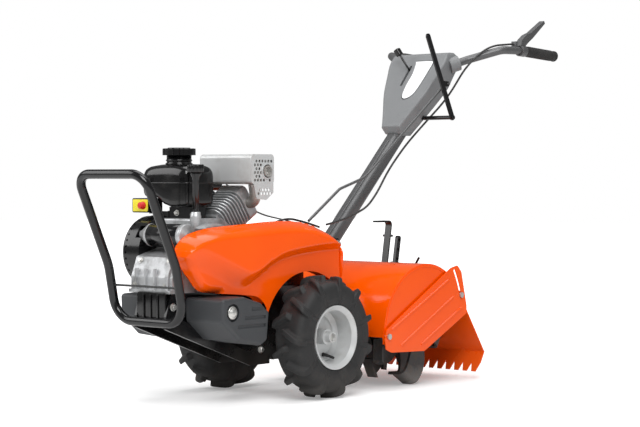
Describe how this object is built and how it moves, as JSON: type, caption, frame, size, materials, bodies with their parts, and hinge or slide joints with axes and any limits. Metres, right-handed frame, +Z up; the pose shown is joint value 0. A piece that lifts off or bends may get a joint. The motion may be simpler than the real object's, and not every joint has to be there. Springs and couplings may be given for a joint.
{
  "type": "pedestrian rear-tine rotavator",
  "caption": "Walk-behind petrol rotavator with lugged drive wheels, a hooded rear tine rotor, a levelling shield, a front tube bumper and a steering handle on one sloping column.",
  "frame": {"origin": "on the ground, midway between the bumper's front and the hand lever's tip, on the machine's middle plane", "axes": "+Z up, +Y towards the grips at the rear, +X to the machine's left, the belt cover's side"},
  "size_m": [0.5075, 1.6504, 1.07],
  "materials": {
    "black_paint": "satin",
    "black_plastic": "satin",
    "bright_steel": "zinc plated",
    "cast_alloy": "cast, lightly blasted",
    "dark_steel": "satin",
    "grey_paint": "satin metallic",
    "grey_plastic": "fine grain",
    "grip_rubber": "matt",
    "orange_paint": "gloss",
    "silver_paint": "satin metallic",
    "tank_plastic": "semi gloss",
    "tyre_rubber": "matt",
    "weight_plastic": "fine grain"
  },
  "bodies": {
    "chassis": {"axle_shaft": "bright_steel", "transmission_case": "black_paint", "engine_frame": "dark_steel", "bumper": "black_paint", "side_weight_left": "weight_plastic", "side_weight_right": "weight_plastic", "crankcase": "cast_alloy", "cylinder": "cast_alloy", "fan_housing": "black_paint", "fuel_tank": "tank_plastic", "tank_mount": "black_paint", "fuel_cap": "black_plastic", "oil_filler": "black_plastic", "starter_motor": "black_paint", "switch_box": "black_plastic", "muffler": "dark_steel", "muffler_guard": "silver_paint", "air_cleaner": "black_plastic", "belt_cover": "orange_paint", "tine_gearcase": "black_paint", "hood": "orange_paint", "hood_bolts_left": "bright_steel", "hood_bolts_right": "bright_steel", "stake_bracket": "black_paint", "depth_lever": "black_paint", "handle_bracket": "black_paint", "engine_cables": "black_plastic"},
    "wheel_left": {"tyre_left": "tyre_rubber", "rim_left": "silver_paint"},
    "wheel_right": {"tyre_right": "tyre_rubber", "rim_right": "silver_paint"},
    "tine_rotor": {"tine_reel_left": "dark_steel", "tine_reel_right": "dark_steel", "tine_shaft": "bright_steel"},
    "drag_shield": {"shield_side_left": "orange_paint", "shield_side_right": "orange_paint", "shield_board": "orange_paint"},
    "stake": {"depth_stake": "black_paint"},
    "handle": {"handle_column": "grey_paint", "console": "grey_plastic", "shift_lever": "black_plastic", "control_bar": "black_paint", "clutch_lever": "grey_paint", "shift_rod": "grey_paint", "handlebar_left": "grey_paint", "handlebar_right": "grey_paint", "grip_left": "grip_rubber", "grip_right": "grip_rubber", "handle_cable": "black_plastic"}
  },
  "joints": [
    {"name": "wheel_left_spin", "type": "hinge", "parent": "chassis", "child": "wheel_left", "pos_m": [0.184, -0.21023, 0.165], "axis": [1, 0, 0], "continuous": true},
    {"name": "wheel_right_spin", "type": "hinge", "parent": "chassis", "child": "wheel_right", "pos_m": [-0.184, -0.21023, 0.165], "axis": [1, 0, 0], "continuous": true},
    {"name": "rotor_spin", "type": "hinge", "parent": "chassis", "child": "tine_rotor", "pos_m": [0, 0.18477, 0.15], "axis": [1, 0, 0], "continuous": true},
    {"name": "shield_swing", "type": "hinge", "parent": "chassis", "child": "drag_shield", "pos_m": [0, 0.00577, 0.153], "axis": [1, 0, 0], "range_deg": [-12.5, 0]},
    {"name": "stake_slide", "type": "slide", "parent": "chassis", "child": "stake", "axis": [0, 0.1736, 0.9848], "range_m": [0, 0.087]},
    {"name": "handle_tilt", "type": "hinge", "parent": "chassis", "child": "handle", "pos_m": [0, 0.02577, 0.402], "axis": [1, 0, 0], "range_deg": [-10, 10]}
  ]
}
